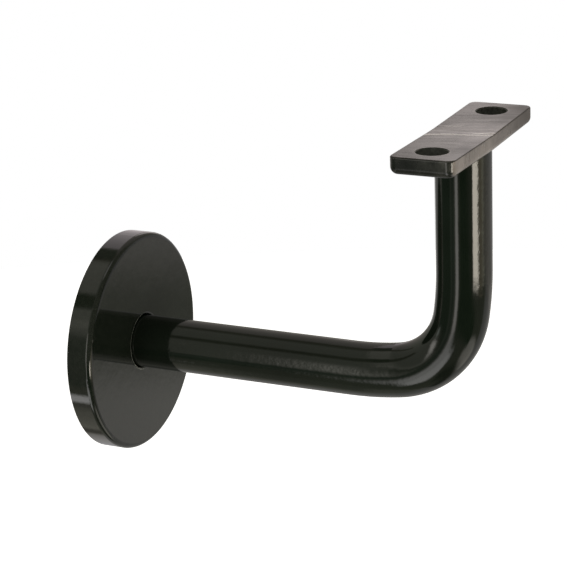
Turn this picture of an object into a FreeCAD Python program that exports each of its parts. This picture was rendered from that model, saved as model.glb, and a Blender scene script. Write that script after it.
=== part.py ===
import FreeCAD, Part
import Sketcher
import math
import os

# Handrail bracket. A bent round bar carries a flat saddle under the rail. Its
# wall end is welded into a fixing plate, and a thin drawn rose slides along
# the bar and covers the plate and its screws.
#
# Frame: origin on the wall plane at the axis of the bar, +X out of the wall,
# +Y along the rail, +Z up. Millimetres.

V = FreeCAD.Vector
doc = FreeCAD.newDocument("HandrailBracket")

# ---------------------------------------------------------------- dimensions
DIMENSIONS = [
    ("barDiameter", 12.0, "round bar of the arm"),
    ("wallToLeg", 84.0, "wall plane to the axis of the upright leg"),
    ("armToSaddle", 51.5, "axis of the arm to the underside of the saddle"),
    ("bendRadius", 17.2, "tight middle of the bend, at the bar's axis"),
    ("easeRadius", 70.0, "gentle start and end of the bend, at the bar's axis"),
    ("easeAngleArm", 9.0, "turn of the gentle part on the arm's side"),
    ("easeAngleLeg", 8.3, "turn of the gentle part on the leg's side"),
    ("saddleLength", 48.0, "flat bar along the rail"),
    ("saddleWidth", 14.0, "flat bar across the rail"),
    ("saddleThickness", 3.8, "flat bar"),
    ("saddleDraw", 0.95, "each half rises this many degrees from the weld"),
    ("saddleCorner", 1.75, "corners of the flat bar in plan"),
    ("saddleLowerEdge", 1.6, "rounding of the edges underneath"),
    ("saddleUpperEdge", 0.35, "rounding of the edges on top"),
    ("railHole", 6.6, "hole for a rail screw"),
    ("railHolePitch", 35.0, "hole to hole along the rail"),
    ("railHoleEdge", 0.2, "broken edge of the rail holes"),
    ("plugLower", 8.0, "plug weld at the underside of the saddle"),
    ("plugUpper", 9.5, "plug weld at the top of the saddle"),
    ("roseDiameter", 50.0, "cover rose outside"),
    ("roseDepth", 5.8, "cover rose, wall to front face"),
    ("roseWall", 1.2, "sheet of the cover rose"),
    ("roseEdge", 1.15, "rounding of the rose's front edge"),
    ("roseInnerEdge", 0.4, "rounding inside the rose's front edge"),
    ("roseBore", 12.4, "hole of the rose around the bar"),
    ("roseBoreEdge", 0.5, "broken edge of that hole"),
    ("plateDiameter", 47.0, "fixing plate behind the rose"),
    ("plateThickness", 4.0, "fixing plate"),
    ("plateWeld", 2.0, "leg of the weld in the back of the plate"),
    ("wallHole", 5.5, "hole for a wall screw"),
    ("wallSink", 10.4, "countersink of the wall hole"),
    ("wallSinkAngle", 90.0, "countersink of the wall hole"),
    ("wallHolePitch", 30.0, "pitch circle of the wall holes"),
    ("wallHoleCount", 3, "wall holes"),
]

sheet = doc.addObject("Spreadsheet::Sheet", "Dimensions")
sheet.set("A1", "name")
sheet.set("B1", "value, mm or degrees")
sheet.set("C1", "what it is")
value = {}
for row, (alias, number, words) in enumerate(DIMENSIONS, start=2):
    sheet.set("A%d" % row, alias)
    sheet.set("B%d" % row, str(number))
    sheet.set("C%d" % row, words)
    sheet.setAlias("B%d" % row, alias)
    value[alias] = float(number)
doc.recompute()


# ------------------------------------------------------------------- helpers
def make_body(label):
    body = doc.addObject("PartDesign::Body", label)
    body.Label = label
    return body


def origin_part(body, role):
    for item in body.Origin.OriginFeatures:
        if item.Role == role:
            return item
    raise RuntimeError("no " + role)


def make_sketch(body, name, role, offset=None):
    sketch = body.newObject("Sketcher::SketchObject", name)
    sketch.AttachmentSupport = [(origin_part(body, role), "")]
    sketch.MapMode = "FlatFace"
    if offset is not None:
        sketch.setExpression("AttachmentOffset.Base.z", offset)
    return sketch


def number_of(expression):
    """The value of an expression of the sheet, for a sketch's first shape."""
    holder = doc.getObject("Probe")
    if holder is None:
        holder = doc.addObject("App::FeaturePython", "Probe")
        holder.addProperty("App::PropertyFloat", "Result")
    holder.setExpression("Result", expression)
    doc.recompute([holder])
    return float(holder.Result)


def datum(sketch, constraint, expression):
    index = sketch.addConstraint(constraint)
    sketch.setExpression("Constraints[%d]" % index, expression)
    return index


def polygon(sketch, corners):
    """Closed outline whose corners are pairs of sheet expressions."""
    points = [V(number_of(a), number_of(b), 0) for a, b in corners]
    count = len(points)
    first = sketch.GeometryCount
    for i in range(count):
        sketch.addGeometry(Part.LineSegment(points[i], points[(i + 1) % count]), False)
    for i in range(count):
        sketch.addConstraint(Sketcher.Constraint("Coincident", first + i, 2, first + (i + 1) % count, 1))
    for i, (a, b) in enumerate(corners):
        x, y = points[i].x, points[i].y
        if abs(x) < 1e-9:
            sketch.addConstraint(Sketcher.Constraint("PointOnObject", first + i, 1, -2))
        else:
            datum(sketch, Sketcher.Constraint("DistanceX", -1, 1, first + i, 1, x), a)
        if abs(y) < 1e-9:
            sketch.addConstraint(Sketcher.Constraint("PointOnObject", first + i, 1, -1))
        else:
            datum(sketch, Sketcher.Constraint("DistanceY", -1, 1, first + i, 1, y), b)


def circle(sketch, x, y, diameter):
    """Circle from three sheet expressions; x or y may be None for zero."""
    cx = number_of(x) if x else 0.0
    cy = number_of(y) if y else 0.0
    d = number_of(diameter)
    index = sketch.addGeometry(Part.Circle(V(cx, cy, 0), V(0, 0, 1), d / 2), False)
    if x is None:
        sketch.addConstraint(Sketcher.Constraint("PointOnObject", index, 3, -2))
    else:
        datum(sketch, Sketcher.Constraint("DistanceX", -1, 1, index, 3, cx), x)
    if y is None:
        sketch.addConstraint(Sketcher.Constraint("PointOnObject", index, 3, -1))
    else:
        datum(sketch, Sketcher.Constraint("DistanceY", -1, 1, index, 3, cy), y)
    datum(sketch, Sketcher.Constraint("Diameter", index, d), diameter)
    return index


def edges_where(feature, test):
    return ["Edge%d" % (i + 1) for i, e in enumerate(feature.Shape.Edges) if test(e)]


def is_circle_about_x(edge, radius, x):
    curve = edge.Curve
    if not isinstance(curve, Part.Circle):
        return False
    return (abs(curve.Radius - radius) < 1e-4 and abs(curve.Center.x - x) < 1e-4
            and abs(abs(curve.Axis.x) - 1) < 1e-6 and math.hypot(curve.Center.y, curve.Center.z) < 1e-4)


def dress(body, kind, name, base, edges, size):
    if not edges:
        raise RuntimeError(name + " found no edges")
    feature = body.newObject("PartDesign::" + kind, name)
    feature.Base = (base, edges)
    feature.setExpression("Radius" if kind == "Fillet" else "Size", size)
    doc.recompute()
    return feature


def volume_fell(before, after, name):
    if not after.Shape.Volume < before.Shape.Volume - 1e-3:
        raise RuntimeError(name + " removed nothing")


D = "Dimensions."

# ----------------------------------------------------------------------- arm
# One round bar, swept along two straight runs joined by a three-arc bend:
# gentle, tight, gentle, as a bar pulled round a former.
arm = make_body("arm")
spine = make_sketch(arm, "ArmPath", "XZ_Plane")
ease = value["easeRadius"]
tight = value["bendRadius"]
a1 = math.radians(value["easeAngleArm"])
a3 = math.radians(value["easeAngleLeg"])
a2 = math.pi / 2 - a1 - a3
heading = 0.0
nodes = [V(0, 0, 0)]
centres = []
for radius, turn in ((ease, a1), (tight, a2), (ease, a3)):
    start = nodes[-1]
    centre = start + V(-math.sin(heading), math.cos(heading), 0) * radius
    centres.append((centre, radius, heading - math.pi / 2, heading + turn - math.pi / 2))
    heading += turn
    nodes.append(centre + V(math.sin(heading), -math.cos(heading), 0) * radius)
overrun = 1.0
run_arm = value["wallToLeg"] - nodes[-1].x
run_leg = value["armToSaddle"] + overrun - nodes[-1].y
shift = V(run_arm, 0, 0)
spine.addGeometry(Part.LineSegment(V(0, 0, 0), shift), False)
for centre, radius, begin, end in centres:
    spine.addGeometry(Part.ArcOfCircle(Part.Circle(centre + shift, V(0, 0, 1), radius), begin, end), False)
top = nodes[-1] + shift
spine.addGeometry(Part.LineSegment(top, top + V(0, run_leg, 0)), False)
spine.addConstraint(Sketcher.Constraint("Coincident", 0, 1, -1, 1))
spine.addConstraint(Sketcher.Constraint("Horizontal", 0))
spine.addConstraint(Sketcher.Constraint("Vertical", 4))
spine.addConstraint(Sketcher.Constraint("Tangent", 0, 2, 1, 1))
spine.addConstraint(Sketcher.Constraint("Tangent", 1, 2, 2, 1))
spine.addConstraint(Sketcher.Constraint("Tangent", 2, 2, 3, 1))
spine.addConstraint(Sketcher.Constraint("Tangent", 3, 2, 4, 1))
datum(spine, Sketcher.Constraint("Radius", 1, ease), D + "easeRadius")
datum(spine, Sketcher.Constraint("Radius", 2, tight), D + "bendRadius")
datum(spine, Sketcher.Constraint("Radius", 3, ease), D + "easeRadius")
datum(spine, Sketcher.Constraint("Angle", 1, a1), D + "easeAngleArm * 1 deg")
datum(spine, Sketcher.Constraint("Angle", 3, a3), D + "easeAngleLeg * 1 deg")
datum(spine, Sketcher.Constraint("DistanceX", -1, 1, 4, 2, value["wallToLeg"]), D + "wallToLeg")
datum(spine, Sketcher.Constraint("DistanceY", -1, 1, 4, 2, value["armToSaddle"] + overrun),
      D + "armToSaddle + 1")
doc.recompute()
round_bar = make_sketch(arm, "BarSection", "YZ_Plane")
circle(round_bar, None, None, D + "barDiameter")
doc.recompute()
sweep = arm.newObject("PartDesign::AdditivePipe", "BarSweep")
sweep.Profile = round_bar
sweep.Spine = (spine, ["Edge%d" % (i + 1) for i in range(5)])
sweep.Mode = "Frenet"
doc.recompute()
length = sum(e.Length for e in spine.Shape.Edges)
section = math.pi * value["barDiameter"] ** 2 / 4
if abs(sweep.Shape.Volume / (section * length) - 1) > 2e-3:
    raise RuntimeError("the bar's volume is off: %.1f against %.1f" % (sweep.Shape.Volume, section * length))
# the top of the leg is dressed to the two slopes of the saddle
leg_cut = make_sketch(arm, "LegTop", "YZ_Plane")
half = "20"
polygon(leg_cut, [("0", D + "armToSaddle"),
                  (half, D + "armToSaddle + 20 * tan(" + D + "saddleDraw * 1 deg)"),
                  (half, D + "armToSaddle + 5"),
                  ("-" + half, D + "armToSaddle + 5"),
                  ("-" + half, D + "armToSaddle + 20 * tan(" + D + "saddleDraw * 1 deg)")])
trim = arm.newObject("PartDesign::Pocket", "LegTrim")
trim.Profile = leg_cut
trim.Type = "Length"
trim.Midplane = True
trim.Length = 400
trim.setExpression("Length", "4 * " + D + "wallToLeg")
doc.recompute()
volume_fell(sweep, trim, "LegTrim")

# -------------------------------------------------------------------- saddle
# Flat bar welded on the leg. The weld has drawn it into a shallow V along the
# rail: both halves rise a little towards their ends.
saddle = make_body("saddle")
rise = D + "saddleLength / 2 * tan(" + D + "saddleDraw * 1 deg)"
side = make_sketch(saddle, "SaddleSide", "YZ_Plane")
polygon(side, [("0", "0"),
               (D + "saddleLength / 2", rise),
               (D + "saddleLength / 2", rise + " + " + D + "saddleThickness"),
               ("0", D + "saddleThickness"),
               ("-" + D + "saddleLength / 2", rise + " + " + D + "saddleThickness"),
               ("-" + D + "saddleLength / 2", rise)])
flat_bar = saddle.newObject("PartDesign::Pad", "FlatBar")
flat_bar.Profile = side
flat_bar.Type = "Length"
flat_bar.Midplane = True
flat_bar.Length = value["saddleWidth"]
flat_bar.setExpression("Length", D + "saddleWidth")
doc.recompute()

L = value["saddleLength"]
W = value["saddleWidth"]


def upright_corner(edge):
    a, b = edge.Vertexes[0].Point, edge.Vertexes[-1].Point
    return (abs(a.x - b.x) < 1e-6 and abs(a.y - b.y) < 1e-6
            and abs(abs(a.x) - W / 2) < 1e-6 and abs(abs(a.y) - L / 2) < 1e-6)


corners = dress(saddle, "Fillet", "SaddleCorners", flat_bar, edges_where(flat_bar, upright_corner),
                D + "saddleCorner")


def on_outline(edge, top):
    """Edges of the outline, above or below the middle of the thickness."""
    for p in (edge.Vertexes[0].Point, edge.Vertexes[-1].Point):
        level = abs(p.y) * math.tan(math.radians(value["saddleDraw"]))
        level += value["saddleThickness"] if top else 0.0
        if abs(p.z - level) > 0.02:
            return False
    middle = edge.valueAt((edge.FirstParameter + edge.LastParameter) / 2)
    return abs(middle.x) > W / 2 - value["saddleCorner"] - 0.01 and (
        abs(abs(middle.x) - W / 2) < 1e-4 or abs(middle.y) > L / 2 - value["saddleCorner"] - 0.01) or (
        abs(abs(middle.y) - L / 2) < 1e-4)


lower = dress(saddle, "Fillet", "SaddleLowerEdge", corners,
              edges_where(corners, lambda e: on_outline(e, False)), D + "saddleLowerEdge")
upper = dress(saddle, "Fillet", "SaddleUpperEdge", lower,
              edges_where(lower, lambda e: on_outline(e, True)), D + "saddleUpperEdge")
rail_holes = make_sketch(saddle, "RailHoles", "XY_Plane")
circle(rail_holes, None, D + "railHolePitch / 2", D + "railHole")
circle(rail_holes, None, "-" + D + "railHolePitch / 2", D + "railHole")
rail_cut = saddle.newObject("PartDesign::Pocket", "RailHoleCut")
rail_cut.Profile = rail_holes
rail_cut.Type = "Length"
rail_cut.Midplane = True
rail_cut.Length = 40
rail_cut.setExpression("Length", "10 * " + D + "saddleThickness")
doc.recompute()
volume_fell(upper, rail_cut, "RailHoleCut")
hole_r = value["railHole"] / 2


def rail_hole_edge(edge):
    if len(edge.Vertexes) > 1 and edge.Vertexes[0].Point.distanceToPoint(edge.Vertexes[-1].Point) > 1e-6:
        return False
    box = edge.BoundBox
    return (abs(box.XLength - 2 * hole_r) < 0.02 and abs(box.YLength - 2 * hole_r) < 0.02
            and box.ZLength < 0.5)


broken = dress(saddle, "Chamfer", "RailHoleEdges", rail_cut,
               edges_where(rail_cut, rail_hole_edge), D + "railHoleEdge")
# seat of the plug weld: a cone that opens towards the top
taper = "(" + D + "plugUpper - " + D + "plugLower) / (2 * " + D + "saddleThickness)"
seat = make_sketch(saddle, "PlugSeat", "XZ_Plane")
low_r = D + "plugLower / 2 - 0.5 * " + taper
high_r = D + "plugUpper / 2 + 0.5 * " + taper
polygon(seat, [("0", "-0.5"), (low_r, "-0.5"), (high_r, D + "saddleThickness + 0.5"),
               ("0", D + "saddleThickness + 0.5")])
seat_cut = saddle.newObject("PartDesign::Groove", "PlugSeatCut")
seat_cut.Profile = seat
seat_cut.ReferenceAxis = (seat, ["V_Axis"])
seat_cut.Angle = 360
doc.recompute()
volume_fell(broken, seat_cut, "PlugSeatCut")

# ---------------------------------------------- plug weld through the saddle
# Weld metal filled in from above onto the leg's end and ground flush.
plug = make_body("saddle_weld")
fill = make_sketch(plug, "PlugSection", "XZ_Plane")
polygon(fill, [("0", "-0.5"), (low_r, "-0.5"), (high_r, D + "saddleThickness + 0.5"),
               ("0", D + "saddleThickness + 0.5")])
cone = plug.newObject("PartDesign::Revolution", "PlugFill")
cone.Profile = fill
cone.ReferenceAxis = (fill, ["V_Axis"])
cone.Angle = 360
doc.recompute()
slope = "20 * tan(" + D + "saddleDraw * 1 deg)"
above = make_sketch(plug, "GroundTop", "YZ_Plane")
polygon(above, [("0", D + "saddleThickness"), ("20", D + "saddleThickness + " + slope),
                ("20", D + "saddleThickness + 5"), ("-20", D + "saddleThickness + 5"),
                ("-20", D + "saddleThickness + " + slope)])
ground = plug.newObject("PartDesign::Pocket", "GroundCut")
ground.Profile = above
ground.Type = "Length"
ground.Midplane = True
ground.Length = 60
doc.recompute()
volume_fell(cone, ground, "GroundCut")
below = make_sketch(plug, "RootFace", "YZ_Plane")
polygon(below, [("0", "0"), ("20", slope), ("20", "-5"), ("-20", "-5"), ("-20", slope)])
root = plug.newObject("PartDesign::Pocket", "RootCut")
root.Profile = below
root.Type = "Length"
root.Midplane = True
root.Length = 60
doc.recompute()
volume_fell(ground, root, "RootCut")

# ---------------------------------------------------------------- wall plate
# Turned disc behind the rose, with three countersunk holes for wall screws
# and a chamfer in the back of its bore for the weld.
plate = make_body("wall_plate")
ring = make_sketch(plate, "PlateRing", "YZ_Plane")
circle(ring, None, None, D + "plateDiameter")
circle(ring, None, None, D + "barDiameter")
disc = plate.newObject("PartDesign::Pad", "PlateDisc")
disc.Profile = ring
disc.Type = "Length"
disc.Length = value["plateThickness"]
disc.setExpression("Length", D + "plateThickness")
doc.recompute()
if disc.Shape.BoundBox.XMin < -1e-6:
    raise RuntimeError("the plate lies behind the wall plane")
prep = dress(plate, "Chamfer", "WeldPrep", disc,
             edges_where(disc, lambda e: is_circle_about_x(e, value["barDiameter"] / 2, 0.0)), D + "plateWeld")
rim_edges = edges_where(prep, lambda e: is_circle_about_x(e, value["plateDiameter"] / 2, value["plateThickness"]))
rim = plate.newObject("PartDesign::Chamfer", "PlateRim")
rim.Base = (prep, rim_edges)
rim.Size = 0.4
doc.recompute()
spot = make_sketch(plate, "WallHoleCentre", "YZ_Plane", D + "plateThickness")
circle(spot, None, D + "wallHolePitch / 2", D + "wallHole")
doc.recompute()
hole = plate.newObject("PartDesign::Hole", "WallHole")
hole.Profile = spot
doc.recompute()
hole.ThreadType = "None"
hole.DepthType = "ThroughAll"
hole.setExpression("Diameter", D + "wallHole")
hole.HoleCutType = "Countersink"
hole.HoleCutCustomValues = True
hole.setExpression("HoleCutDiameter", D + "wallSink")
hole.setExpression("HoleCutCountersinkAngle", D + "wallSinkAngle")
doc.recompute()
volume_fell(rim, hole, "WallHole")
holes = plate.newObject("PartDesign::PolarPattern", "WallHoles")
holes.Originals = [hole]
holes.Axis = (origin_part(plate, "X_Axis"), [""])
holes.Angle = 360
holes.setExpression("Occurrences", D + "wallHoleCount")
plate.Tip = holes
doc.recompute()
volume_fell(hole, holes, "WallHoles")

# ------------------------------------------------- weld of the bar and plate
bead = make_body("plate_weld")
fillet_section = make_sketch(bead, "BeadSection", "XZ_Plane")
polygon(fillet_section, [("0", D + "barDiameter / 2"),
                         ("0", D + "barDiameter / 2 + " + D + "plateWeld"),
                         (D + "plateWeld", D + "barDiameter / 2")])
bead_turn = bead.newObject("PartDesign::Revolution", "BeadRing")
bead_turn.Profile = fillet_section
bead_turn.ReferenceAxis = (fillet_section, ["H_Axis"])
bead_turn.Angle = 360
doc.recompute()

# ---------------------------------------------------------------- cover rose
# Drawn cap: a flat face with a rounded rim, open at the wall, bored for the
# bar with a little running clearance.
rose = make_body("cover_rose")
cap = make_sketch(rose, "RoseSection", "XZ_Plane")
outer = D + "roseDiameter / 2"
inner = D + "roseDiameter / 2 - " + D + "roseWall"
face = D + "roseDepth"
back = D + "roseDepth - " + D + "roseWall"
bore = D + "roseBore / 2"
polygon(cap, [("0", inner), ("0", outer), (face, outer), (face, bore), (back, bore), (back, inner)])
shell = rose.newObject("PartDesign::Revolution", "RoseShell")
shell.Profile = cap
shell.ReferenceAxis = (cap, ["H_Axis"])
shell.Angle = 360
doc.recompute()
ro, ri = value["roseDiameter"] / 2, value["roseDiameter"] / 2 - value["roseWall"]
xf, xb, rb = value["roseDepth"], value["roseDepth"] - value["roseWall"], value["roseBore"] / 2
edge_out = dress(rose, "Fillet", "RoseEdge", shell,
                 edges_where(shell, lambda e: is_circle_about_x(e, ro, xf)), D + "roseEdge")
edge_in = dress(rose, "Fillet", "RoseInnerEdge", edge_out,
                edges_where(edge_out, lambda e: is_circle_about_x(e, ri, xb)), D + "roseInnerEdge")
edge_bore = dress(rose, "Fillet", "RoseBoreEdge", edge_in,
                  edges_where(edge_in, lambda e: is_circle_about_x(e, rb, xf)), D + "roseBoreEdge")

# ---------------------------------------------------------------- placements
for body in (saddle, plug):
    body.setExpression(".Placement.Base.x", D + "wallToLeg")
    body.setExpression(".Placement.Base.z", D + "armToSaddle")
for body in (arm, plate, bead, rose):
    body.Placement = FreeCAD.Placement(V(0, 0, 0), FreeCAD.Rotation())
doc.recompute()

# --------------------------------------------------------------------- write
pieces = [arm, saddle, plug, plate, bead, rose]
for item in doc.Objects:
    for word in ("Invalid", "Error"):
        if word in item.State:
            raise RuntimeError("%s is %s" % (item.Label, item.State))
for item in doc.findObjects("Sketcher::SketchObject"):
    if item.solve() != 0:
        raise RuntimeError("%s isn't solved" % item.Label)
    if item.FullyConstrained is False:
        print("note: %s isn't fully constrained" % item.Label)
for body in pieces:
    shape = body.Shape
    if shape.isNull() or not shape.isValid() or len(shape.Solids) != 1:
        raise RuntimeError("%s has a bad shape" % body.Label)
os.makedirs("parts", exist_ok=True)
for body in pieces:
    body.Shape.exportStep("parts/%s.step" % body.Label)
    box = body.Shape.BoundBox
    print("%-12s volume %9.2f mm3  box %.2f..%.2f  %.2f..%.2f  %.2f..%.2f" % (
        body.Label, body.Shape.Volume, box.XMin, box.XMax, box.YMin, box.YMax, box.ZMin, box.ZMax))
print("straight run of the arm %.2f mm, of the leg %.2f mm" % (run_arm, run_leg - overrun))
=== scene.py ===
import math
import bpy
from mathutils import Matrix, Vector

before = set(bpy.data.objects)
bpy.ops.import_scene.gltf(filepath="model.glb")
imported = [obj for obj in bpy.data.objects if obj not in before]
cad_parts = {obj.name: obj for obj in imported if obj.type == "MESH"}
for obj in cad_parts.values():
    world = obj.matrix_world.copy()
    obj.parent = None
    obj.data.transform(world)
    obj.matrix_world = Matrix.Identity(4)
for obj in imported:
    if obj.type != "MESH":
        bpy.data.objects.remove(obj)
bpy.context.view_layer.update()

scene = bpy.context.scene
scene.view_settings.view_transform = "Standard"


# ------------------------------------------------------------- node helpers
class Graph:
    """Short names for building a node tree."""

    def __init__(self, tree):
        self.tree = tree
        self.tree.nodes.clear()

    def add(self, kind, **settings):
        node = self.tree.nodes.new(kind)
        for key, item in settings.items():
            setattr(node, key, item)
        return node

    def feed(self, socket, item):
        if isinstance(item, bpy.types.NodeSocket):
            self.tree.links.new(item, socket)
        elif item is not None:
            socket.default_value = item

    def math(self, operation, a, b=None, c=None, clamp=False):
        node = self.add("ShaderNodeMath", operation=operation, use_clamp=clamp)
        for socket, item in zip(node.inputs, (a, b, c)):
            self.feed(socket, item)
        return node.outputs[0]

    def step(self, x, low, high, to_low=0.0, to_high=1.0, kind="SMOOTHSTEP"):
        node = self.add("ShaderNodeMapRange", interpolation_type=kind)
        for socket, item in zip(node.inputs, (x, low, high, to_low, to_high)):
            self.feed(socket, item)
        return node.outputs[0]

    def mix(self, factor, a, b):
        node = self.add("ShaderNodeMix", data_type="RGBA")
        self.feed(node.inputs[0], factor)
        self.feed(node.inputs[6], a if isinstance(a, bpy.types.NodeSocket) else (*a, 1.0))
        self.feed(node.inputs[7], b if isinstance(b, bpy.types.NodeSocket) else (*b, 1.0))
        return node.outputs[2]

    def noise(self, vector, scale, detail=2.0, roughness=0.5, distortion=0.0):
        node = self.add("ShaderNodeTexNoise")
        self.feed(node.inputs["Vector"], vector)
        node.inputs["Scale"].default_value = scale
        node.inputs["Detail"].default_value = detail
        node.inputs["Roughness"].default_value = roughness
        node.inputs["Distortion"].default_value = distortion
        return node.outputs["Fac"]

    def stretch(self, vector, x, y, z):
        node = self.add("ShaderNodeVectorMath", operation="MULTIPLY")
        self.feed(node.inputs[0], vector)
        node.inputs[1].default_value = (x, y, z)
        return node.outputs[0]


# ------------------------------------------------------------------ camera
AZ, EL, ROLL = math.radians(25.713), math.radians(18.548), math.radians(-2.234)
back = Vector((math.sin(AZ) * math.cos(EL), -math.cos(AZ) * math.cos(EL), math.sin(EL)))
right = Vector((math.cos(AZ), math.sin(AZ), 0.0))
up = back.cross(right)
r2 = right * math.cos(ROLL) + up * math.sin(ROLL)
u2 = up * math.cos(ROLL) - right * math.sin(ROLL)
cam_data = bpy.data.cameras.new("camera")
cam = bpy.data.objects.new("camera", cam_data)
scene.collection.objects.link(cam)
pose = Matrix((r2, u2, back)).transposed().to_4x4()
pose.translation = Vector((0.231404, -0.394003, 0.164444))
cam.matrix_world = pose
cam_data.sensor_width = 36.0
cam_data.lens = 2096.958 * 36.0 / 567.0
cam_data.clip_start = 0.01
cam_data.clip_end = 40.0
scene.camera = cam

# ------------------------------------------------------------------ studio
# The surroundings that the gloss mirrors: soft boxes, screens and dark gaps.
# Each is painted over the last as a soft patch of the sky sphere, in degrees
# about +Z (az, 0 is +X) and above the horizon (el).
SKY = [
    # kind, az, el, half width, half height, softness, turn, colour
    ("box", 131, 27, 74, 30, 10, -19, (0.39, 0.36, 0.33)),       # grey wall, behind
    ("box", -154, 34, 54, 52, 10.5, -9, (0.39, 0.39, 0.33)),     # grey wall, left
    ("box", 102, -56, 72, 42, 4.6, 5, (0.44, 0.43, 0.41)),       # grey floor, right
    ("box", -167, -66, 32, 37, 11.5, 25, (0.37, 0.36, 0.30)),    # grey floor, left
    ("box", 49.5, -17.5, 60.5, 4.3, 2.1, -3, (0.70, 0.64, 0.555)),
    ("box", 63, -6, 43, 14.3, 10.4, -11, (0.41, 0.40, 0.40)),
    ("oval", 6, -55, 35.5, 14, 0.26, -6, (1.24, 1.19, 1.06)),    # sheet under the arm
    ("box", 1.5, -73.4, 73, 9, 7, -5, (0.05, 0.05, 0.04)),
    ("box", -50.4, -27.6, 36, 10.4, 4.8, -19, (0.03, 0.06, 0.03)),
    ("box", -130.7, -13.6, 15.2, 4.3, 3.1, -6, (0.14, 0.14, 0.11)),
    ("box", -140.8, -20, 24.6, 8.5, 3.6, -5, (0.06, 0.09, 0.06)),
    ("oval", -97.3, -42.3, 14.2, 21, 0.26, 35, (1.92, 1.89, 1.83)),   # big soft box
    ("oval", -93.3, -46.7, 18, 10.2, 0.36, 17, (2.36, 2.35, 2.28)),
    ("box", -99.3, -1.5, 5.6, 22.6, 3.8, 3, (2.46, 2.35, 2.20)),      # strip light
    ("box", -118, -17, 8, 4, 3, 0, (0.12, 0.15, 0.12)),
    ("oval", -142.4, -2.4, 11.3, 3.1, 0.7, -10, (2.81, 2.71, 2.50)),
    ("box", -1, -16, 5, 4.5, 2.2, 0, (0.80, 0.66, 0.45)),
    ("box", 11, -16, 5.2, 4.5, 2.5, 0, (1.36, 1.32, 1.03)),
    ("box", 26, -16, 4, 4.5, 2.2, 0, (0.54, 0.49, 0.42)),
    ("box", -21.2, -16, 12.4, 4.7, 2.6, -3, (9.0, 8.3, 7.1)),         # window
    ("blind", -0.5, -16, 9.5, 7, 1.4, 0, (0.85, 0.72, 0.52)),         # its ragged right side
    ("box", 129.5, -18.7, 6.8, 5.4, 4.3, 0, (1.25, 1.25, 1.21)),
    ("oval", -154.5, -7.7, 3.5, 3, 0.6, 0, (1.06, 1.15, 1.05)),
    ("box", 60.2, -21.8, 5, 1.8, 1.2, 0, (0.64, 0.62, 0.58)),
    ("box", 60.2, -19.2, 3.2, 1.35, 1.1, 0, (0.21, 0.21, 0.18)),
    ("box", 103, 15, 9, 12, 2.5, 0, (1.31, 1.20, 1.17)),              # over the saddle
    ("box", 0, 90, 200, 12, 4, 0, (1.1, 1.07, 1.03)),                 # overhead box
]
# Bands round the X axis, by the angle from +Y towards +Z: the seams of the
# tent, then the hoop of brighter cloth at its end and what hangs there.
SEAMS = [
    # angle, half width, softness, from x, to x, colour
    (171, 20, 6, -0.425, -0.295, (0.50, 0.49, 0.43)),
    (173, 16, 6, -0.407, -0.295, (0.95, 0.93, 0.82)),
    (176, 12, 6, -0.380, -0.295, (1.75, 1.70, 1.52)),
    (257, 13, 5, -0.430, -0.33, (0.22, 0.22, 0.18)),
    (324, 13, 9, -0.430, -0.33, (0.27, 0.26, 0.26)),
    (68.5, 4.9, 3.7, -0.90, -0.20, (0.16, 0.15, 0.114)),
    (124.1, 6.6, 4.9, -0.90, -0.20, (0.122, 0.114, 0.084)),
    (20, 34, 4, -0.535, -0.466, (0.77, 0.70, 0.71)),
    (231.3, 4.5, 2.6, -0.535, -0.466, (2.8, 2.75, 2.7)),
    (281, 5, 3.5, -0.535, -0.466, (0.21, 0.19, 0.17)),
    (188, 27, 7.3, -0.535, -0.466, (0.20, 0.21, 0.17)),
    (149, 4.3, 2.8, -0.535, -0.466, (0.80, 0.78, 0.67)),
    (240, 2, 1.8, -0.535, -0.466, (0.40, 0.37, 0.33)),
    (61.8, 8.5, 3.2, -0.535, -0.466, (0.11, 0.12, 0.09)),
    (124.1, 7.5, 4, -0.535, -0.466, (0.08, 0.09, 0.06)),
    (326, 18, 10, -0.535, -0.466, (0.50, 0.49, 0.50)),
]
world = bpy.data.worlds.new("studio")
scene.world = world
world.use_nodes = True
g = Graph(world.node_tree)
direction = g.add("ShaderNodeTexCoord").outputs["Generated"]
parts = g.add("ShaderNodeSeparateXYZ")
g.feed(parts.inputs[0], direction)
dx, dy, dz = parts.outputs
DEG = 180.0 / math.pi
az = g.math("MULTIPLY", g.math("ARCTAN2", dy, dx), DEG)
el = g.math("MULTIPLY", g.math("ARCSINE", dz), DEG)
roll = g.math("MULTIPLY", g.math("ARCTAN2", dz, dy), DEG)
light = g.mix(0.0, (0.19, 0.19, 0.147), (0, 0, 0))
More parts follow.
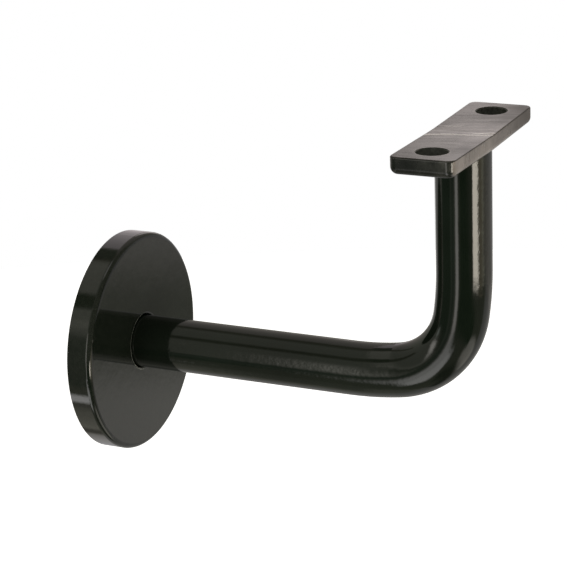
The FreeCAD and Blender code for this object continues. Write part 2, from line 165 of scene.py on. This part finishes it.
for kind, a0, e0, ha, he, soft, turn, colour in SKY:
    u = g.math("WRAP", g.math("SUBTRACT", az, float(a0)), 180.0, -180.0)
    v = g.math("SUBTRACT", el, float(e0))
    if kind == "blind":
        ragged = g.add("ShaderNodeTexNoise", noise_dimensions="1D")
        g.feed(ragged.inputs["W"], el)
        ragged.inputs["Scale"].default_value = 2.6
        ragged.inputs["Detail"].default_value = 3.0
        ragged.inputs["Roughness"].default_value = 0.6
        u = g.math("ADD", u, g.math("MULTIPLY", g.math("SUBTRACT", ragged.outputs["Fac"], 0.5), 60.0))
    if turn:
        c, s = math.cos(math.radians(turn)), math.sin(math.radians(turn))
        u, v = (g.math("ADD", g.math("MULTIPLY", u, c), g.math("MULTIPLY", v, s)),
                g.math("SUBTRACT", g.math("MULTIPLY", v, c), g.math("MULTIPLY", u, s)))
    if kind != "oval":
        mask = g.math("MULTIPLY",
                      g.step(g.math("ABSOLUTE", u), ha - soft, ha + soft, 1.0, 0.0),
                      g.step(g.math("ABSOLUTE", v), he - soft, he + soft, 1.0, 0.0))
    else:
        radius = g.math("SQRT", g.math("ADD", g.math("POWER", g.math("DIVIDE", u, float(ha)), 2.0),
                                       g.math("POWER", g.math("DIVIDE", v, float(he)), 2.0)))
        mask = g.step(radius, 1.0 - soft, 1.0 + soft, 1.0, 0.0)
    light = g.mix(mask, light, colour)
HOOP = (-0.478, -0.457, -0.64, -0.52)
hoop = g.math("MULTIPLY", g.step(dx, HOOP[0], HOOP[1], 1.0, 0.0), g.step(dx, HOOP[2], HOOP[3]))
scaled = g.add("ShaderNodeVectorMath", operation="MULTIPLY")
g.feed(scaled.inputs[0], light)
scaled.inputs[1].default_value = (1.6, 1.57, 1.6)
light = g.mix(hoop, light, scaled.outputs[0])
for centre, half, soft, low, high, colour in SEAMS:
    off = g.math("ABSOLUTE", g.math("WRAP", g.math("SUBTRACT", roll, float(centre)), 180.0, -180.0))
    mask = g.math("MULTIPLY", g.step(off, half - soft, half + soft, 1.0, 0.0),
                  g.math("MULTIPLY", g.step(dx, low - 0.008, low + 0.008),
                         g.step(dx, high - 0.010, high + 0.010, 1.0, 0.0)))
    light = g.mix(mask, light, colour)
bg = g.add("ShaderNodeBackground")
g.feed(bg.inputs["Color"], light)
g.feed(g.add("ShaderNodeOutputWorld").inputs["Surface"], bg.outputs[0])

# pale floor well below the wall-hung part, and a white dome for the camera
def plain(name, verts, faces, colour, glow):
    mesh = bpy.data.meshes.new(name)
    mesh.from_pydata(verts, [], faces)
    thing = bpy.data.objects.new(name, mesh)
    scene.collection.objects.link(thing)
    material = bpy.data.materials.new(name)
    material.use_nodes = True
    shader = material.node_tree.nodes["Principled BSDF"]
    shader.inputs["Base Color"].default_value = (*colour, 1.0)
    shader.inputs["Roughness"].default_value = 0.9
    shader.inputs["Specular IOR Level"].default_value = 0.0
    shader.inputs["Emission Color"].default_value = (1, 1, 1, 1)
    shader.inputs["Emission Strength"].default_value = glow
    material.cycles.emission_sampling = "NONE"
    mesh.materials.append(material)
    thing.visible_glossy = False
    thing.visible_diffuse = False
    thing.visible_transmission = False
    thing.visible_shadow = False
    return thing


FLOOR = -1.0
floor = plain("floor", [(x, y, FLOOR) for x, y in ((-3.3, -3.3), (3.3, -3.3), (3.3, 3.3), (-3.3, 3.3))],
              [(0, 1, 2, 3)], (0.9, 0.9, 0.9), 0.95)
rings, turns, size = 12, 48, 3.2
verts = [(size * math.cos(math.pi / 2 * i / rings) * math.cos(2 * math.pi * j / turns),
          size * math.cos(math.pi / 2 * i / rings) * math.sin(2 * math.pi * j / turns),
          FLOOR - 0.05 + size * math.sin(math.pi / 2 * i / rings))
         for i in range(rings) for j in range(turns)] + [(0, 0, FLOOR - 0.05 + size)]
faces = [(i * turns + j, i * turns + (j + 1) % turns, (i + 1) * turns + (j + 1) % turns, (i + 1) * turns + j)
         for i in range(rings - 1) for j in range(turns)]
faces += [((rings - 1) * turns + j, (rings - 1) * turns + (j + 1) % turns, rings * turns) for j in range(turns)]
plain("backdrop", verts, faces, (0.0, 0.0, 0.0), 1.0)


# a large soft light from the right and above; the gloss sees only the sky
lamp = bpy.data.lights.new("softbox", "AREA")
lamp.shape = "RECTANGLE"
lamp.size, lamp.size_y = 1.2, 0.9
lamp.energy = 3.0
lamp.color = (1.0, 0.97, 0.94)
softbox = bpy.data.objects.new("softbox", lamp)
softbox.location = (1.15, -0.35, 0.95)
softbox.rotation_euler = (Vector((0.08, 0.0, 0.04)) - Vector(softbox.location)).to_track_quat("-Z", "Y").to_euler()
softbox.visible_glossy = False
scene.collection.objects.link(softbox)


# --------------------------------------------------------------- materials
def coat(name, base, roughness, slow=1.6e-5, fine=6.0e-6, haze=0.0, dust=0.0, bore_highlight=False, run=False):
    """Gloss black powder coat: orange peel, slow waves, nibs and a little haze; optionally a painted highlight round
    the bore.
    """
    material = bpy.data.materials.new(name)
    material.use_nodes = True
    g = Graph(material.node_tree)
    where = g.add("ShaderNodeTexCoord").outputs["Object"]
    shader = g.add("ShaderNodeBsdfPrincipled")
    cloud = g.noise(where, 55.0, 4.0)
    tone = g.step(cloud, 0.3, 0.7, 0.0, 1.0, "LINEAR")
    colour = g.mix(tone, tuple(c * 0.75 for c in base), tuple(c * 1.25 + haze for c in base))
    speck = g.step(g.noise(where, 1100.0, 3.0, 0.7), 0.38, 0.76, 0.0, dust, "LINEAR")
    colour = g.mix(speck, colour, (0.10, 0.10, 0.092))
    if bore_highlight:
        # painted highlight: a light line round the left side of the bore edge, standing in for the edge's reflection
        split = g.add("ShaderNodeSeparateXYZ")
        g.feed(split.inputs[0], where)
        radius = g.math("SQRT", g.math("ADD", g.math("POWER", split.outputs[1], 2.0), g.math("POWER", split.outputs[2], 2.0)))
        bore_highlight_mask = g.step(g.math("ABSOLUTE", g.math("SUBTRACT", radius, 0.00650)), 0.00014, 0.00028, 1.0, 0.0)
        bore_highlight_mask = g.math("MULTIPLY", bore_highlight_mask, g.step(split.outputs[0], 0.0049, 0.0052))
        bore_highlight_mask = g.math("MULTIPLY", bore_highlight_mask, g.step(split.outputs[1], -0.0025, 0.0010, 1.0, 0.0))
        colour = g.mix(bore_highlight_mask, colour, (0.200, 0.205, 0.190))
    g.feed(shader.inputs["Base Color"], colour)
    patchy = g.noise(where, 210.0, 4.0)
    g.feed(shader.inputs["Roughness"], g.step(patchy, 0.3, 0.7, roughness * 0.75, roughness * 1.3, "LINEAR"))
    shader.inputs["IOR"].default_value = 1.5
    # nibs: sparse tiny grains under the coat
    cells = g.add("ShaderNodeTexVoronoi", feature="F1")
    g.feed(cells.inputs["Vector"], where)
    cells.inputs["Scale"].default_value = 240.0
    rare = g.add("ShaderNodeSeparateColor")
    g.feed(rare.inputs[0], cells.outputs["Color"])
    nib = g.math("MULTIPLY", g.step(cells.outputs["Distance"], 0.02, 0.075, 1.0, 0.0), g.math("GREATER_THAN", rare.outputs[0], 0.965))
    height = g.math("ADD", g.math("MULTIPLY", g.noise(where, 330.0, 2.0, 0.45), slow),
                    g.math("MULTIPLY", g.noise(where, 1300.0, 2.0, 0.5), fine))
    height = g.math("ADD", height, g.math("MULTIPLY", nib, 1.2e-5))
    if run:
        # the coat is thicker and coarser low on the arm, towards the bend
        split = g.add("ShaderNodeSeparateXYZ")
        g.feed(split.inputs[0], where)
        thick = g.math("MULTIPLY", g.step(split.outputs[0], 0.018, 0.045), g.step(split.outputs[0], 0.072, 0.082, 1.0, 0.0))
        thick = g.math("MULTIPLY", thick, g.step(split.outputs[2], 0.0020, 0.0050, 1.0, 0.0))
        coarse = g.math("MULTIPLY", g.math("SUBTRACT", g.noise(where, 980.0, 3.0, 0.6), 0.5), 1.9e-5)
        height = g.math("ADD", height, g.math("MULTIPLY", coarse, thick))
        # and in a lane up the outer front of the leg
        lane = g.math("MULTIPLY", g.step(split.outputs[0], 0.0882, 0.0888), g.step(split.outputs[1], -0.0006, -0.0018))
        lane = g.math("MULTIPLY", lane, g.step(split.outputs[2], 0.0195, 0.0240))
        sag = g.math("MULTIPLY", g.math("SUBTRACT", g.noise(where, 760.0, 3.0, 0.6), 0.5), 7.0e-5)
        height = g.math("ADD", height, g.math("MULTIPLY", sag, lane))
    bump = g.add("ShaderNodeBump")
    bump.inputs["Strength"].default_value = 1.0
    bump.inputs["Distance"].default_value = 1.0
    g.feed(bump.inputs["Height"], height)
    g.feed(shader.inputs["Normal"], bump.outputs[0])
    g.feed(g.add("ShaderNodeOutputMaterial").inputs["Surface"], shader.outputs[0])
    return material


def rubbed_with_sheen(name):
    """The saddle: the same coat rubbed down on top, streaks across the bar, under painted sheen on the top and long
    sides, a painted highlight along the fold and painted patchy highlights on the end faces.
    """
    material = bpy.data.materials.new(name)
    material.use_nodes = True
    g = Graph(material.node_tree)
    where = g.add("ShaderNodeTexCoord").outputs["Object"]
    split = g.add("ShaderNodeSeparateXYZ")
    g.feed(split.inputs[0], where)
    x, y, z = split.outputs
    facing = g.add("ShaderNodeSeparateXYZ")
    g.feed(facing.inputs[0], g.add("ShaderNodeNewGeometry").outputs["Normal"])
    top = g.step(facing.outputs[2], 0.70, 0.97)
    flank = g.step(g.math("ABSOLUTE", facing.outputs[0]), 0.6, 0.95)
    # distance from the axis of the nearer rail hole
    along = g.math("SUBTRACT", g.math("ABSOLUTE", y), 0.0175)
    across = g.math("SUBTRACT", x, 0.084)
    radius = g.math("SQRT", g.math("ADD", g.math("POWER", along, 2.0), g.math("POWER", across, 2.0)))
    inside = g.step(radius, 0.00331, 0.00336, 1.0, 0.0)
    rim = g.math("MULTIPLY", g.step(radius, 0.0033, 0.0034), g.step(radius, 0.0036, 0.0041, 1.0, 0.0))
    shader = g.add("ShaderNodeBsdfPrincipled")
    # distance along the rail from the painted highlight line over the leg, which runs askew
    wobble = g.math("MULTIPLY", g.math("SUBTRACT", g.noise(where, 170.0, 2.0), 0.5), 0.0024)
    line = g.math("ADD", g.math("SUBTRACT", y, g.math("MULTIPLY_ADD", x, 0.243, -0.0232)), wobble)
    skew = g.add("ShaderNodeCombineXYZ")
    g.feed(skew.inputs[0], g.math("MULTIPLY", x, 80.0))
    g.feed(skew.inputs[1], g.math("MULTIPLY", line, 800.0))
    g.feed(skew.inputs[2], g.math("MULTIPLY", z, 120.0))
    streak = g.step(g.noise(skew.outputs[0], 1.0, 4.0, 0.65), 0.32, 0.70, 0.0, 1.0, "LINEAR")
    cloud = g.step(g.noise(where, 110.0, 5.0, 0.65), 0.32, 0.68, 0.0, 1.0, "LINEAR")
    # painted highlight: bright lines along the fold of the top and beside it, standing in for reflections
    first = g.step(g.math("ABSOLUTE", line), 0.00022, 0.00075, 1.0, 0.0)
    second = g.math("MULTIPLY", g.step(g.math("ABSOLUTE", g.math("SUBTRACT", line, 0.0016)), 0.0001, 0.0005, 1.0, 0.0),
                    g.step(x, 0.0855, 0.0880))
    third = g.math("MULTIPLY", g.step(g.math("ABSOLUTE", g.math("SUBTRACT", line, 0.0072)), 0.0001, 0.0005, 0.6, 0.0),
                   g.step(g.math("ABSOLUTE", g.math("SUBTRACT", x, 0.0805)), 0.0010, 0.0026, 1.0, 0.0))
    fold_highlight_line = g.math("MAXIMUM", first, g.math("MAXIMUM", second, third))
    near_line = g.step(g.math("ABSOLUTE", g.math("SUBTRACT", line, 0.003)), 0.0025, 0.0075, 1.0, 0.0)
    tone = g.math("ADD", g.math("MULTIPLY", cloud, 0.45),
                  g.math("MULTIPLY", streak, g.math("MULTIPLY_ADD", near_line, 0.50, 0.35)))
    ends = g.step(y, -0.020, -0.008, 0.55, 1.0, "LINEAR")
    # top: rubbed-down streaks and cloudy tone in the coat, lightened as a painted sheen
    rub_and_sheen = g.mix(g.math("MULTIPLY", tone, ends), (0.016, 0.012, 0.011), (0.160, 0.128, 0.122))
    corner = g.math("MULTIPLY", g.step(y, 0.004, 0.024), g.step(x, 0.080, 0.091))
    rub_and_sheen = g.mix(g.math("MULTIPLY", corner, 0.9), rub_and_sheen, (0.045, 0.034, 0.026))
    # the painted fold highlight goes over the top colour
    rub_and_sheen = g.mix(g.math("MULTIPLY", fold_highlight_line, g.step(streak, 0.0, 0.6, 0.75, 1.0)), rub_and_sheen, (0.66, 0.61, 0.59))
    rub_and_sheen = g.mix(g.math("MULTIPLY", rim, 0.55), rub_and_sheen, (0.22, 0.19, 0.185))
    # end faces and underside: near black with painted patchy highlights
    end_face_highlights = g.mix(g.math("MULTIPLY", cloud, cloud), (0.005, 0.006, 0.005), (0.085, 0.084, 0.076))
    # long sides: painted sheen, darker towards the far end
    side_sheen = g.mix(cloud, (0.215, 0.190, 0.178), (0.430, 0.380, 0.358))
    side_sheen = g.mix(g.step(y, -0.012, 0.018, 0.0, 0.85, "LINEAR"), side_sheen, (0.075, 0.062, 0.055))
    wall = g.mix(g.noise(where, 900.0, 3.0), (0.004, 0.005, 0.004), (0.110, 0.112, 0.100))
    colour = g.mix(flank, end_face_highlights, side_sheen)
    colour = g.mix(top, colour, rub_and_sheen)
    colour = g.mix(inside, colour, wall)
    g.feed(shader.inputs["Base Color"], colour)
    rough = g.math("ADD", g.step(tone, 0.1, 0.9, 0.32, 0.15, "LINEAR"), g.math("MULTIPLY", corner, 0.17))
    g.feed(shader.inputs["Roughness"], g.step(g.math("MAXIMUM", top, flank), 0.0, 1.0, 0.16, rough, "LINEAR"))
    shader.inputs["IOR"].default_value = 1.5
    height = g.math("ADD", g.math("MULTIPLY", streak, 9.0e-6), g.math("MULTIPLY", fold_highlight_line, 2.0e-5))
    height = g.math("ADD", g.math("MULTIPLY", height, top), g.math("MULTIPLY", g.noise(where, 450.0, 3.0), 2.0e-5))
    bump = g.add("ShaderNodeBump")
    bump.inputs["Strength"].default_value = 1.0
    bump.inputs["Distance"].default_value = 1.0
    g.feed(bump.inputs["Height"], height)
    g.feed(shader.inputs["Normal"], bump.outputs[0])
    g.feed(g.add("ShaderNodeOutputMaterial").inputs["Surface"], shader.outputs[0])
    return material


BLACK = (0.0080, 0.0115, 0.0080)
finish = {
    "arm": coat("arm_coat", BLACK, 0.06, run=True),
    "cover_rose": coat("rose_coat", BLACK, 0.05, 9.0e-6, 4.0e-6, 0.0, 0.11, True),
    "saddle": rubbed_with_sheen("saddle_coat"),
    "wall_plate": coat("plate_coat", (0.010, 0.011, 0.010), 0.24, 1.6e-5, 1.2e-5, 0.004),
}
finish["saddle_weld"] = finish["saddle"]
finish["plate_weld"] = finish["wall_plate"]
for node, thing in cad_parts.items():
    for socket in thing.material_slots:
        socket.material = finish[node]
